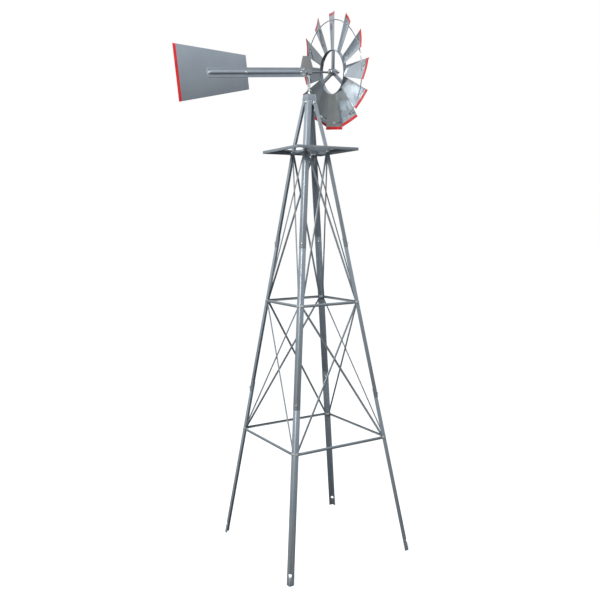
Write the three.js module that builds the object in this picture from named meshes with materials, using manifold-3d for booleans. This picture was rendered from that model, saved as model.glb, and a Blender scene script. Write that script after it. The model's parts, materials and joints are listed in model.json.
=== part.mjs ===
// Garden windmill: a galvanised four-legged lattice tower with a head that turns to the wind
// and a twelve-bladed wheel. Millimetres, +Z up, +X is the way the wheel faces at rest.
import * as THREE from "three";
import { mergeVertices } from "three/addons/utils/BufferGeometryUtils.js";
import Module from "manifold-3d";

const wasm = await Module();
wasm.setup();

// ---- Driving dimensions -------------------------------------------------------------------
const GAP = 0.3;                 // air between pieces that touch on the real object
const BASE_HALF = 322.2;         // tower axis to the outer corner of a leg at the ground, along X
const APEX_Z = 2270;             // where the four corner lines of the straight tower would meet
const KNEE_Z = 1833;             // the legs bend in here, at the platform
const LEG_TOP_Z = 2050;
const LEG_TOP_HALF = 23.5;       // the legs lean in more steeply above the platform
const LEG_SHEET = 1.2;
const FLANGE = 22.5;             // width of each leg flange
const LEG_BEND = 5;              // outer radius of the folded corner
const NEST_STEP = 1.5;           // each lower leg section sits this much further in
const LOWER_RING_Z = 530;
const LOWER_SPLICE_Z = 715;      // bottom edge of the middle leg sections
const MIDDLE_RING_Z = 1149;
const UPPER_SPLICE_Z = 1399;     // bottom edge of the upper leg sections
const SPLICE_LAP = 40;
const SPLICE_BOLT_UP = 18;       // splice bolt above the outer section's bottom edge
const ANCHOR_Z = 43;
const ANCHOR_R = 7;
const TOP_RING_Z = 1819;         // bolts of the upper braces and the platform's collar
const BOLT_IN = 13.5;            // bolt centre from the leg's corner, along the face
const BOLT_R = 3.3;              // clearance hole for a 6 mm bolt
const STRIP = 1.0;               // sheet of the rings and braces
const RING_WIDTH = 13;
const RING_CROWN = 3;
const RING_TAB = 24;             // flat length at each end of a ring bar
const BRACE_WIDTH = 10;
const BRACE_CROWN = 2.2;
const BRACE_TAB = 38;            // flat length at each end of a brace
const STEEP_TAB = 110;           // foot of a steep brace, which stays on the leg flange for longer
const BRACE_END = 6;             // brace beyond its bolt centre
const CROWN_RUN = 12;            // length over which a flat tab rises to the crown

const DECK_Z = 1836;             // top of the platform
const DECK_HALF = 156.5;
const DECK_SHEET = 1.2;
const DECK_LIP = 12.5;
const DECK_HOLE_HALF = 96;
const DECK_HEM = 5;              // upturned inner edge
const COLLAR_BOTTOM_Z = 1810;    // the collar's corners go round the legs
const SIDE_STRAP = [1822, DECK_Z];       // collar between the legs, left and right faces
const END_STRAP = [1815.5, 1829.5];      // and front and rear faces
const STRAP_HALF = 45;           // half-length of a strap between two of the collar's corners
const TONGUE_WIDTH = 24;

const CAP_TOP_Z = 2075;
const CAP_TOP_HALF = 20.5;
const CAP_SHEET = 1.2;
const SPIGOT_BOTTOM_Z = 2028;
const SPIGOT_INSET = 2.6;        // spigot inside the legs' outer faces, clear of their folds
const SPIGOT_WALL = 1.5;
const BUSH_HOLE_R = 6.8;
const CAP_BOLT_Z = 2039.5;

const AXLE_Z = 2173;             // axle height on the tower axis
const HEAD_TILT = THREE.MathUtils.degToRad(5.48);   // the tail hangs low, the wheel end is high
const POST_R = 4.2;
const AXLE_R = 4.5;
const TAIL_FAR = 631;
const TAIL_NEAR = 308;
const TAIL_FAR_HALF = 114.6;
const TAIL_NEAR_HALF = 70.3;
const VANE_SHEET = 1.0;
const BOOM_REAR = 494;
const BOOM_FRONT = 22;
const BOOM_HALF = 20;
const BOOM_RIDGE_R = 7.5;
const BOOM_SHEET = 1.0;
const VANE_BOLTS = [486, 316];   // behind the tower axis
const HEAD_BOLTS = [[41, 0], [29, 11.2], [29, -11.2]];

const WHEEL_X = 127.2;           // wheel plane along the axle
const HUB_R = 15.5;
const HUB_REAR = 18;             // hub behind the wheel plane
const HUB_KNEE = 11;             // where it starts to taper, in front of the wheel plane
const HUB_FRONT = 24;
const HUB_FRONT_R = 8;
const HOOP_R = 96.4;
const HOOP_SHEET = 1.2;
const HOOP_HALF = 9;
const SPOKES = 3;
const SPOKE_THICK = 7;
const SPOKE_WIDE = 17;
const SPOKE_PHASE = THREE.MathUtils.degToRad(10.5);
const BLADES = 12;
const BLADE_TIP_R = 253.7;
const BLADE_ROOT_R = 97;
const BLADE_TIP_HALF = 47.3;
const BLADE_ROOT_HALF = 25.5;
const BLADE_SHEET = 1.0;
const BLADE_PITCH = THREE.MathUtils.degToRad(-19.3);
const WHEEL_PHASE = THREE.MathUtils.degToRad(6.67);
const WIRE_R = 222.5;
const WIRE_THICK = 4;
const SLOT_SPARE = 1;            // clearance of a blade's slot round the wire, along it
const SLOT_RISE = 0.8;           // and across it

const TAPER = BASE_HALF / APEX_Z;
const BATTER = Math.atan(TAPER);
const BEND_SLOPE = (BASE_HALF - KNEE_Z * TAPER - LEG_TOP_HALF) / (LEG_TOP_Z - KNEE_Z);

// ---- Finishes ---------------------------------------------------------------------------------
const finish = (color, roughness) =>
  new THREE.MeshStandardMaterial({ color, roughness, metalness: 0.9 });
const zincFrame = finish(0x9fb0be, 0.45);
const zincBrace = finish(0x8d9aa5, 0.5);
const zincDeck = finish(0x8fa0ac, 0.45);
const sheetSteel = finish(0xa9b2b8, 0.35);
const vaneSheet = finish(0x8692a0, 0.4);
const barSteel = finish(0x7d8a96, 0.4);
const boltZinc = finish(0xc9cfd2, 0.3);

// ---- Geometry helpers --------------------------------------------------------------------------
function solid(geometry) {
  const bare = geometry.clone();
  bare.deleteAttribute("normal");
  bare.deleteAttribute("uv");
  const merged = mergeVertices(bare, 1e-4);
  return new wasm.Manifold(new wasm.Mesh({
    numProp: 3,
    vertProperties: merged.attributes.position.array,
    triVerts: new Uint32Array(merged.index.array),
  }));
}

function geometryOf(body) {
  const mesh = body.getMesh();
  const geometry = new THREE.BufferGeometry();
  geometry.setAttribute("position", new THREE.BufferAttribute(mesh.vertProperties, 3));
  geometry.setIndex(new THREE.BufferAttribute(mesh.triVerts, 1));
  return geometry;
}

const joined = (...geometries) => geometryOf(
  geometries.map(solid).reduce((whole, piece) => whole.add(piece)));

const cut = (geometry, ...tools) => geometryOf(
  tools.map(solid).reduce((whole, tool) => whole.subtract(tool), solid(geometry)));

// A round bar centred on a point and lying along a direction.
function rod(centre, direction, radius, length, sides = 6) {
  const geometry = new THREE.CylinderGeometry(
    radius, radius, length, sides, 1, false, Math.PI / sides);
  const turn = new THREE.Quaternion().setFromUnitVectors(
    new THREE.Vector3(0, 1, 0), direction.clone().normalize());
  return geometry.applyQuaternion(turn).translate(centre.x, centre.y, centre.z);
}

// A round bar along X between two stations.
const barX = (from, to, radius, sides = 16) =>
  rod(new THREE.Vector3((from + to) / 2, 0, 0), new THREE.Vector3(1, 0, 0), radius, to - from, sides);

const box = (x0, x1, y0, y1, z0, z1) => new THREE.BoxGeometry(x1 - x0, y1 - y0, z1 - z0)
  .translate((x0 + x1) / 2, (y0 + y1) / 2, (z0 + z1) / 2);

// A square frustum between two heights, given half-widths.
function frustum(z0, half0, z1, half1) {
  const geometry = new THREE.CylinderGeometry(
    half1 * Math.SQRT2, half0 * Math.SQRT2, z1 - z0, 4);
  return geometry.rotateY(Math.PI / 4).rotateX(Math.PI / 2).translate(0, 0, (z0 + z1) / 2);
}

// Folded sheet: each section lists the outer edge points, then the inner ones in the same order.
function sheetLoft(sections) {
  const count = sections[0].length / 2;
  const ring = (section) => [
    ...section.slice(0, count),
    ...section.slice(count).reverse(),
  ];
  const points = sections.flatMap(ring);
  const around = 2 * count;
  const faces = [];
  const quad = (a, b, c, d) => faces.push(a, b, c, a, c, d);
  for (let s = 0; s + 1 < sections.length; s++) {
    for (let i = 0; i < around; i++) {
      const j = (i + 1) % around;
      const corners = [s * around + i, s * around + j, (s + 1) * around + j, (s + 1) * around + i];
      // The inner skin is split along the same diagonals as the outer one, or a twisted
      // stretch of thin sheet would cut through itself.
      if (i >= count) corners.push(corners.shift());
      quad(...corners);
    }
  }
  const last = (sections.length - 1) * around;
  for (let i = 0; i + 1 < count; i++) {
    const a = i;
    const b = i + 1;
    const c = around - 2 - i;
    const d = around - 1 - i;
    quad(d, c, b, a);
    quad(last + a, last + b, last + c, last + d);
  }
  if (enclosedVolume(points, faces) < 0) faces.reverse();
  const geometry = new THREE.BufferGeometry().setFromPoints(points);
  geometry.setIndex(faces);
  return geometry;
}

function enclosedVolume(points, faces) {
  let volume = 0;
  for (let i = 0; i < faces.length; i += 3) {
    const [a, b, c] = [points[faces[i]], points[faces[i + 1]], points[faces[i + 2]]];
    volume += a.dot(b.clone().cross(c)) / 6;
  }
  return volume;
}

// ---- Tower ---------------------------------------------------------------------------------
// Half-width of the tower across the legs' outer faces.
const legHalf = (z) => (z <= KNEE_Z
  ? BASE_HALF - z * TAPER
  : BASE_HALF - KNEE_Z * TAPER - (z - KNEE_Z) * BEND_SLOPE);

// Angle section of one leg, corner at the origin and flanges along -X and -Y.
function angleSection() {
  const arc = (radius) => [90, 45, 0].map((degrees) => {
    const angle = THREE.MathUtils.degToRad(degrees);
    return [radius * Math.cos(angle) - LEG_BEND, radius * Math.sin(angle) - LEG_BEND];
  });
  const outer = [[-FLANGE, 0], ...arc(LEG_BEND), [0, -FLANGE]];
  const inner = [[-FLANGE, -LEG_SHEET], ...arc(LEG_BEND - LEG_SHEET), [-LEG_SHEET, -FLANGE]];
  return [...outer, ...inner];
}

// Bolt through the flange that lies in the front face, and its twin in the left face.
function flangeHoles(z, inset) {
  const reach = legHalf(z) - inset;
  const frontWay = new THREE.Vector3(Math.cos(BATTER), 0, Math.sin(BATTER));
  const leftWay = new THREE.Vector3(0, Math.cos(BATTER), Math.sin(BATTER));
  return [
    rod(new THREE.Vector3(reach, reach - BOLT_IN, z), frontWay, BOLT_R, 8),
    rod(new THREE.Vector3(reach - BOLT_IN, reach, z), leftWay, BOLT_R, 8),
  ];
}

// The cap is held by one bolt through each leg's front or rear flange, and so on round.
const capBoltHole = (length) => rod(
  new THREE.Vector3(legHalf(CAP_BOLT_Z), legHalf(CAP_BOLT_Z) - BOLT_IN, CAP_BOLT_Z),
  new THREE.Vector3(Math.cos(Math.atan(BEND_SLOPE)), 0, Math.sin(Math.atan(BEND_SLOPE))),
  BOLT_R, length);

const CREASE_DEPTH = 2;          // middle of a hole through the rounded fold, in from its corner
const CREASE_HOLE_LONG = 14;
const creaseHole = (z, inset, radius) => rod(
  new THREE.Vector3(legHalf(z) - inset - CREASE_DEPTH, legHalf(z) - inset - CREASE_DEPTH, z),
  new THREE.Vector3(1, 1, 0), radius, CREASE_HOLE_LONG, 8);

function legSection(heights, inset, holes) {
  const outline = angleSection();
  const sections = heights.map((z) => outline.map(([x, y]) => new THREE.Vector3(
    legHalf(z) - inset + x, legHalf(z) - inset + y, z)));
  return cut(sheetLoft(sections), ...holes);
}

const lowerSpliceBolt = LOWER_SPLICE_Z + SPLICE_BOLT_UP;
const upperSpliceBolt = UPPER_SPLICE_Z + SPLICE_BOLT_UP;

const lowerLeg = () => legSection([0, LOWER_SPLICE_Z + SPLICE_LAP], 2 * NEST_STEP, [
  creaseHole(ANCHOR_Z, 2 * NEST_STEP, ANCHOR_R),
  creaseHole(lowerSpliceBolt, 2 * NEST_STEP, BOLT_R),
  ...flangeHoles(LOWER_RING_Z, 2 * NEST_STEP),
]);

const middleLeg = () => legSection([LOWER_SPLICE_Z, UPPER_SPLICE_Z + SPLICE_LAP], NEST_STEP, [
  creaseHole(lowerSpliceBolt, NEST_STEP, BOLT_R),
  creaseHole(upperSpliceBolt, NEST_STEP, BOLT_R),
  ...flangeHoles(MIDDLE_RING_Z, NEST_STEP),
]);

const upperLeg = () => legSection([UPPER_SPLICE_Z, KNEE_Z, LEG_TOP_Z], 0, [
  creaseHole(upperSpliceBolt, 0, BOLT_R),
  ...flangeHoles(TOP_RING_Z, 0),
  capBoltHole(8),
]);

// In a face's frame X points out of the face, Y along it and Z up its slope.
const slopeHeight = (z) => z / Math.cos(BATTER);
const rows = {
  lower: { z: LOWER_RING_Z, inset: 2 * NEST_STEP },
  middle: { z: MIDDLE_RING_Z, inset: NEST_STEP },
  top: { z: TOP_RING_Z, inset: 0 },
};
const boltSide = (row) => legHalf(row.z) - row.inset - BOLT_IN;
const flangeInside = (row) => (row.inset + LEG_SHEET) * Math.cos(BATTER) + GAP;

// A pressed strip between two bolts, flat at its ends and crowned between them.
function strip(from, to, { width, crown, footTab, headTab, beyond }) {
  const along = to.clone().sub(from);
  const length = along.length() + 2 * beyond;
  along.normalize();
  const start = from.clone().addScaledVector(along, -beyond);
  const out = new THREE.Vector3(1, 0, 0);
  const across = along.clone().cross(out).normalize();
  const stations = [
    [0, 0], [footTab, 0], [footTab + CROWN_RUN, crown],
    [length - headTab - CROWN_RUN, crown], [length - headTab, 0], [length, 0],
  ];
  const profile = [[-width / 2, 0], [0, 1], [width / 2, 0]];
  const sections = stations.map(([distance, rise]) => [0, -STRIP].flatMap((depth) =>
    profile.map(([side, lift]) => start.clone()
      .addScaledVector(along, distance)
      .addScaledVector(across, side)
      .addScaledVector(out, lift * rise + depth))));
  const holes = [from, to].map((centre) => rod(centre, out, BOLT_R, 8));
  return cut(sheetLoft(sections), ...holes);
}

function ringBar(row) {
  const x = -flangeInside(row);
  const z = slopeHeight(row.z);
  const side = boltSide(row);
  return strip(new THREE.Vector3(x, -side, z), new THREE.Vector3(x, side, z), {
    width: RING_WIDTH, crown: RING_CROWN, footTab: RING_TAB, headTab: RING_TAB, beyond: BRACE_END,
  });
}

// Layer 1 lies against the ring bars, and layer 2 against layer 1.
function brace(lowRow, highRow, layer) {
  const depth = (row) => -flangeInside(row) - layer * (STRIP + GAP);
  const way = layer === 1 ? 1 : -1;
  const low = new THREE.Vector3(depth(lowRow), -way * boltSide(lowRow), slopeHeight(lowRow.z));
  const high = new THREE.Vector3(depth(highRow), way * boltSide(highRow), slopeHeight(highRow.z));
  return strip(low, high, {
    width: BRACE_WIDTH, crown: way * BRACE_CROWN, beyond: BRACE_END,
    footTab: lowRow === rows.middle ? STEEP_TAB : BRACE_TAB, headTab: BRACE_TAB,
  });
}

// The platform: a lipped square frame on four tongues that run in to a collar round the legs.
function platform() {
  const inside = DECK_HALF - DECK_SHEET;
  const under = DECK_Z - DECK_SHEET;
  const hemHalf = DECK_HOLE_HALF + DECK_SHEET;
  const lid = cut(
    box(-DECK_HALF, DECK_HALF, -DECK_HALF, DECK_HALF, DECK_Z - DECK_LIP, DECK_Z),
    box(-inside, inside, -inside, inside, DECK_Z - DECK_LIP - 1, under));
  const hem = box(-hemHalf, hemHalf, -hemHalf, hemHalf, under, DECK_Z + DECK_HEM);
  const window = box(-DECK_HOLE_HALF, DECK_HOLE_HALF, -DECK_HOLE_HALF, DECK_HOLE_HALF,
    DECK_Z - DECK_LIP, DECK_Z + DECK_HEM + 1);
  const frame = cut(joined(lid, hem), window);
  const inner = (z) => BASE_HALF - z * TAPER + GAP / Math.cos(BATTER);
  const outer = (z) => inner(z) + LEG_SHEET;
  const collar = cut(
    frustum(COLLAR_BOTTOM_Z, outer(COLLAR_BOTTOM_Z), DECK_Z, outer(DECK_Z)),
    frustum(COLLAR_BOTTOM_Z - 1, inner(COLLAR_BOTTOM_Z - 1), DECK_Z + 1, inner(DECK_Z + 1)),
    box(-DECK_HALF, DECK_HALF, -STRAP_HALF, STRAP_HALF, END_STRAP[1], DECK_Z + 1),
    box(-DECK_HALF, DECK_HALF, -STRAP_HALF, STRAP_HALF, COLLAR_BOTTOM_Z - 1, END_STRAP[0]),
    box(-STRAP_HALF, STRAP_HALF, -DECK_HALF, DECK_HALF, COLLAR_BOTTOM_Z - 1, SIDE_STRAP[0]));
  const nearEnd = inner(DECK_Z) * Math.SQRT2;
  const farEnd = hemHalf * Math.SQRT2 + LEG_BEND;
  const tongues = [45, 135, 225, 315].map((degrees) =>
    box(nearEnd, farEnd, -TONGUE_WIDTH / 2, TONGUE_WIDTH / 2, under, DECK_Z)
      .rotateZ(THREE.MathUtils.degToRad(degrees)));
  const way = new THREE.Vector3(Math.cos(BATTER), 0, Math.sin(BATTER));
  const holes = [0, 90, 180, 270].flatMap((degrees) => [-1, 1].map((side) =>
    rod(new THREE.Vector3(legHalf(TOP_RING_Z), side * boltSide(rows.top), TOP_RING_Z), way, BOLT_R, 8)
      .rotateZ(THREE.MathUtils.degToRad(degrees))));
  return cut(joined(frame, collar, ...tongues), ...holes);
}

// The cap: a folded skirt outside the leg tops and a spigot inside them, under one top plate.
// Cap: a folded lid flush with the legs, and a square spigot that goes down inside them.
function towerCap() {
  const bottom = LEG_TOP_Z + GAP;
  const lid = cut(
    frustum(bottom, LEG_TOP_HALF, CAP_TOP_Z, CAP_TOP_HALF),
    frustum(bottom - 1, LEG_TOP_HALF - CAP_SHEET, CAP_TOP_Z - CAP_SHEET, CAP_TOP_HALF - CAP_SHEET));
  const spigotHalf = (z) => legHalf(z) - SPIGOT_INSET;
  const spigotTop = CAP_TOP_Z - CAP_SHEET / 2;
  const spigot = cut(
    frustum(SPIGOT_BOTTOM_Z, spigotHalf(SPIGOT_BOTTOM_Z), spigotTop, spigotHalf(spigotTop)),
    frustum(SPIGOT_BOTTOM_Z - 1, spigotHalf(SPIGOT_BOTTOM_Z - 1) - SPIGOT_WALL,
      spigotTop + 1, spigotHalf(spigotTop + 1) - SPIGOT_WALL));
  const holes = [0, 90, 180, 270].map((degrees) =>
    capBoltHole(12).rotateZ(THREE.MathUtils.degToRad(degrees)));
  const bushHole = rod(
    new THREE.Vector3(0, 0, CAP_TOP_Z), new THREE.Vector3(0, 0, 1), BUSH_HOLE_R, 10, 16);
  return cut(joined(lid, spigot), bushHole, ...holes);
}

// ---- Swivel --------------------------------------------------------------------------------
const UP = new THREE.Vector3(0, 0, 1);
const BUSH_BOTTOM_Z = 2046;
const BUSH_HEX_Z = 2085;
const BUSH_TOP_Z = 2092;
const BUSH_BORE_R = 4.8;
const BUSH_SHANK_R = 6.2;
const BUSH_STUB_R = 7.4;
const BUSH_STUB_HIGH = 3;
const BUSH_HEX_R = 8;
const WASHER_R = 10.4;
const WASHER_THICK = 2;
const COLLAR_R = 8.6;
const COLLAR_HIGH = 4.6;
const POST_BOTTOM_Z = 2042;

const pillar = (z0, z1, radius, sides = 16) =>
  rod(new THREE.Vector3(0, 0, (z0 + z1) / 2), UP, radius, z1 - z0, sides);

const swivelBush = () => cut(
  joined(
    pillar(BUSH_BOTTOM_Z, BUSH_TOP_Z, BUSH_SHANK_R),
    pillar(CAP_TOP_Z + GAP, CAP_TOP_Z + GAP + BUSH_STUB_HIGH, BUSH_STUB_R),
    pillar(BUSH_HEX_Z, BUSH_TOP_Z, BUSH_HEX_R, 6)),
  pillar(BUSH_BOTTOM_Z - 1, BUSH_TOP_Z + 1, BUSH_BORE_R));

const washerZ = BUSH_TOP_Z + GAP;
const thrustWasher = () => cut(
  pillar(washerZ, washerZ + WASHER_THICK, WASHER_R, 20),
  pillar(washerZ - 1, washerZ + WASHER_THICK + 1, BUSH_BORE_R));

// ---- Head ----------------------------------------------------------------------------------
const BLOCK_HALF = 10;
const NUT_R = 8.6;
const NUT_LONG = 8;
const AXLE_REAR = 21;
const PLATE_HALF = VANE_SHEET / 2;

// An upright plate in the XZ plane, centred on it.
function plateXZ(points, thickness) {
  const shape = new THREE.Shape(points.map(([x, z]) => new THREE.Vector2(x, z)));
  return new THREE.ExtrudeGeometry(shape, { depth: thickness, bevelEnabled: false })
    .translate(0, 0, -thickness / 2)
    .rotateX(Math.PI / 2);
}

const crossHole = (x, z) =>
  rod(new THREE.Vector3(x, 0, z), new THREE.Vector3(0, 1, 0), BOLT_R, 30, 8);

// Upright post, the block it carries the axle in, and the plate the boom is bolted to.
const FIN_TOP = [[-26, 70], [11, 70]];           // the fin's upper edge
const FIN_FRONT = [24, 14];
const TONGUE_REAR = -48;                         // the fin's tongue, between the boom's halves
const TONGUE_TOP = 10;
const TONGUE_BOTTOM = -16;
function headBracket() {
  const seat = BLOCK_HALF - 0.5;
  const step = -AXLE_REAR - 0.5;
  const plate = plateXZ([
    ...FIN_TOP, FIN_FRONT, [FIN_FRONT[0], seat], [step, seat],
    [step, TONGUE_BOTTOM], [TONGUE_REAR, TONGUE_BOTTOM], [TONGUE_REAR, TONGUE_TOP],
  ], VANE_SHEET);
  const block = box(-BLOCK_HALF, BLOCK_HALF, -BLOCK_HALF, BLOCK_HALF, -BLOCK_HALF, BLOCK_HALF);
  const bore = barX(-BLOCK_HALF - 1, BLOCK_HALF + 1, AXLE_R + GAP);
  const tilted = [plate, block].map((piece) => piece.rotateY(-HEAD_TILT));
  const holes = HEAD_BOLTS.map(([back, z]) => crossHole(-back, z).rotateY(-HEAD_TILT));
  const collarZ = washerZ + WASHER_THICK + GAP;
  const post = joined(
    pillar(POST_BOTTOM_Z - AXLE_Z, -BLOCK_HALF + 2, POST_R),
    pillar(collarZ - AXLE_Z, collarZ + COLLAR_HIGH - AXLE_Z, COLLAR_R));
  return cut(joined(post, ...tilted), bore.rotateY(-HEAD_TILT), ...holes);
}

// One pressed half of the boom. Hand is 1 for the left half and -1 for the right.
function boomHalf(hand) {
  const flat = PLATE_HALF + GAP;
  const arc = (radius, base) => [150, 120, 90, 60, 30].map((degrees) => {
    const angle = THREE.MathUtils.degToRad(degrees);
    return [radius * Math.cos(angle), base + radius * Math.sin(angle)];
  });
  const edge = (radius, base) => [
    [-BOOM_HALF, base], [-radius, base], ...arc(radius, base), [radius, base], [BOOM_HALF, base],
  ];
  const outline = [
    ...edge(BOOM_RIDGE_R, flat + BOOM_SHEET),
    ...edge(BOOM_RIDGE_R - BOOM_SHEET, flat),
  ];
  const sections = [-BOOM_REAR, -BOOM_FRONT].map((x) =>
    outline.map(([z, y]) => new THREE.Vector3(x, hand * y, z)));
  const holes = [
    ...VANE_BOLTS.map((back) => crossHole(-back, 0)),
    ...HEAD_BOLTS.map(([back, z]) => crossHole(-back, z)),
  ];
  return cut(sheetLoft(sections), ...holes);
}

const tailVane = () => cut(
  plateXZ([
    [-TAIL_FAR, -TAIL_FAR_HALF], [-TAIL_NEAR, -TAIL_NEAR_HALF],
    [-TAIL_NEAR, TAIL_NEAR_HALF], [-TAIL_FAR, TAIL_FAR_HALF],
  ], VANE_SHEET),
  ...VANE_BOLTS.map((back) => crossHole(-back, 0)));

const HUB_NUT_X = WHEEL_X + HUB_FRONT + 2;
const HUB_NUT_R = 6.4;
const HUB_NUT_LONG = 5;
const axle = () => {
  const nutX = BLOCK_HALF + GAP;
  const hubRear = WHEEL_X - HUB_REAR - GAP;
  return joined(
    barX(-AXLE_REAR, HUB_NUT_X + 1, AXLE_R),
    barX(-nutX - NUT_LONG, -nutX, NUT_R, 6),
    barX(nutX, nutX + NUT_LONG, NUT_R, 6),
    barX(hubRear - NUT_LONG, hubRear, NUT_R, 6),
    barX(HUB_NUT_X, HUB_NUT_X + HUB_NUT_LONG, HUB_NUT_R, 6),
    barX(HUB_NUT_X + HUB_NUT_LONG - GAP, HUB_NUT_X + HUB_NUT_LONG + 4, HUB_NUT_R - 2, 12));
};

// ---- Wheel ---------------------------------------------------------------------------------
// A ring or boss turned about the axle: points are [radius, x], closed on itself.
const turned = (points, sides) => new THREE.LatheGeometry(
  [...points, points[0]].map(([radius, x]) => new THREE.Vector2(radius, x)), sides)
  .rotateZ(-Math.PI / 2);

const hubBore = AXLE_R + GAP + 0.1;

function wheelSpider() {
  const hub = turned([
    [hubBore, -HUB_REAR], [HUB_R, -HUB_REAR], [HUB_R, HUB_KNEE],
    [HUB_FRONT_R, HUB_FRONT], [hubBore, HUB_FRONT],
  ], 20);
  const hoopIn = HOOP_R - HOOP_SHEET;
  const hoop = turned([
    [hoopIn, -HOOP_HALF], [HOOP_R, -HOOP_HALF], [HOOP_R, HOOP_HALF], [hoopIn, HOOP_HALF],
  ], 48);
  const spokes = Array.from({ length: SPOKES }, (_, i) =>
    box(-SPOKE_THICK / 2, SPOKE_THICK / 2, -SPOKE_WIDE / 2, SPOKE_WIDE / 2, HUB_R - 4, hoopIn + 0.4)
      .rotateX(SPOKE_PHASE + (i * 2 * Math.PI) / SPOKES));
  return joined(hub, hoop, ...spokes);
}

const hubWasher = () => {
  const [rear, front] = [HUB_FRONT + GAP, HUB_FRONT + 1.5];
  return turned([
    [hubBore, rear], [HUB_FRONT_R, rear], [HUB_FRONT_R, front], [hubBore, front],
  ], 16);
};

const wireRing = () =>
  new THREE.TorusGeometry(WIRE_R, WIRE_THICK / 2, 6, 72).rotateY(Math.PI / 2);

// A flat blade standing on Z, with the slot that the wire ring runs through.
function blade() {
  const shape = new THREE.Shape([
    [-BLADE_ROOT_HALF, BLADE_ROOT_R], [BLADE_ROOT_HALF, BLADE_ROOT_R],
    [BLADE_TIP_HALF, BLADE_TIP_R], [-BLADE_TIP_HALF, BLADE_TIP_R],
  ].map(([y, z]) => new THREE.Vector2(y, z)));
  const slotHalf = SLOT_SPARE
    + (WIRE_THICK / Math.sin(-BLADE_PITCH) + BLADE_SHEET / Math.tan(-BLADE_PITCH)) / 2;
  const slotRise = WIRE_THICK / 2 + SLOT_RISE;
  shape.holes.push(new THREE.Path([
    [-slotHalf, WIRE_R - slotRise], [-slotHalf, WIRE_R + slotRise],
    [slotHalf, WIRE_R + slotRise], [slotHalf, WIRE_R - slotRise],
  ].map(([y, z]) => new THREE.Vector2(y, z))));
  return new THREE.ExtrudeGeometry(shape, { depth: BLADE_SHEET, bevelEnabled: false })
    .translate(0, 0, -BLADE_SHEET / 2)
    .rotateX(Math.PI / 2)
    .rotateZ(Math.PI / 2);
}

// ---- Assembly ------------------------------------------------------------------------------
function named(name, geometry, material) {
  const mesh = new THREE.Mesh(geometry, material);
  mesh.name = name;
  return mesh;
}

function turnedCopy(degrees, ...children) {
  const group = new THREE.Group();
  group.rotation.z = THREE.MathUtils.degToRad(degrees);
  group.add(...children);
  return group;
}

function buildTower() {
  const tower = new THREE.Group();
  const corners = ["front_left", "rear_left", "rear_right", "front_right"];
  const legShapes = { lower: lowerLeg(), middle: middleLeg(), upper: upperLeg() };
  corners.forEach((corner, i) => {
    const pieces = Object.entries(legShapes).map(([part, geometry]) =>
      named(`${part}_leg_${corner}`, geometry, zincFrame));
    tower.add(turnedCopy(i * 90, ...pieces));
  });
  const faceShapes = [
    ["lower_ring", ringBar(rows.lower)],
    ["middle_ring", ringBar(rows.middle)],
    ["lower_brace_outer", brace(rows.lower, rows.middle, 1)],
    ["lower_brace_inner", brace(rows.lower, rows.middle, 2)],
    ["upper_brace_outer", brace(rows.middle, rows.top, 1)],
    ["upper_brace_inner", brace(rows.middle, rows.top, 2)],
  ];
  ["front", "left", "rear", "right"].forEach((face, i) => {
    const leaning = new THREE.Group();
    leaning.position.x = BASE_HALF;
    leaning.rotation.y = -BATTER;
    leaning.add(...faceShapes.map(([part, geometry]) =>
      named(`${part}_${face}`, geometry, zincBrace)));
    tower.add(turnedCopy(i * 90, leaning));
  });
  tower.add(
    named("platform", platform(), zincDeck),
    named("tower_cap", towerCap(), zincFrame),
    named("swivel_bush", swivelBush(), boltZinc),
    named("thrust_washer", thrustWasher(), boltZinc));
  return tower;
}

function buildWheel() {
  const wheel = new THREE.Group();
  wheel.position.x = WHEEL_X;
  wheel.add(
    named("wheel_spider", wheelSpider(), barSteel),
    named("hub_washer", hubWasher(), boltZinc),
    named("wire_ring", wireRing(), boltZinc));
  const bladeShape = blade();
  for (let i = 0; i < BLADES; i++) {
    const arm = new THREE.Group();
    arm.rotation.x = WHEEL_PHASE + (i * 2 * Math.PI) / BLADES;
    const sail = named(`blade_${String(i + 1).padStart(2, "0")}`, bladeShape, sheetSteel);
    sail.rotation.z = BLADE_PITCH;
    arm.add(sail);
    wheel.add(arm);
  }
  return wheel;
}

function buildHead() {
  const head = new THREE.Group();
  head.position.z = AXLE_Z;
  const line = new THREE.Group();
  line.rotation.y = -HEAD_TILT;
  line.add(
    named("boom_left", boomHalf(1), barSteel),
    named("boom_right", boomHalf(-1), barSteel),
    named("tail_vane", tailVane(), vaneSheet),
    named("axle", axle(), boltZinc),
    buildWheel());
  head.add(named("head_bracket", headBracket(), barSteel), line);
  return head;
}

// The origin is under the middle of the whole outline, so the tower stands forward of it.
const tailReach = TAIL_FAR * Math.cos(HEAD_TILT) + TAIL_FAR_HALF * Math.sin(HEAD_TILT);
const windmill = new THREE.Group();
windmill.position.x = (tailReach - (BASE_HALF - 2 * NEST_STEP)) / 2;
windmill.add(buildTower(), buildHead());

export default windmill;
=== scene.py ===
# %% [markdown]
# # A galvanised garden windmill
# A braced four-legged tower carries a head that turns to the wind, and the head carries a
# twelve-bladed wheel. Everything on the real one is thin pressed sheet, bent angle, plain round
# bar and bolts, so each piece here is made the way the maker does it: cut flat, then bent.
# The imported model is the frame. Its shapes say where every piece goes.

# %% Load the frame
import json
import math

import bmesh
import bpy
from mathutils import Matrix, Vector

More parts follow.
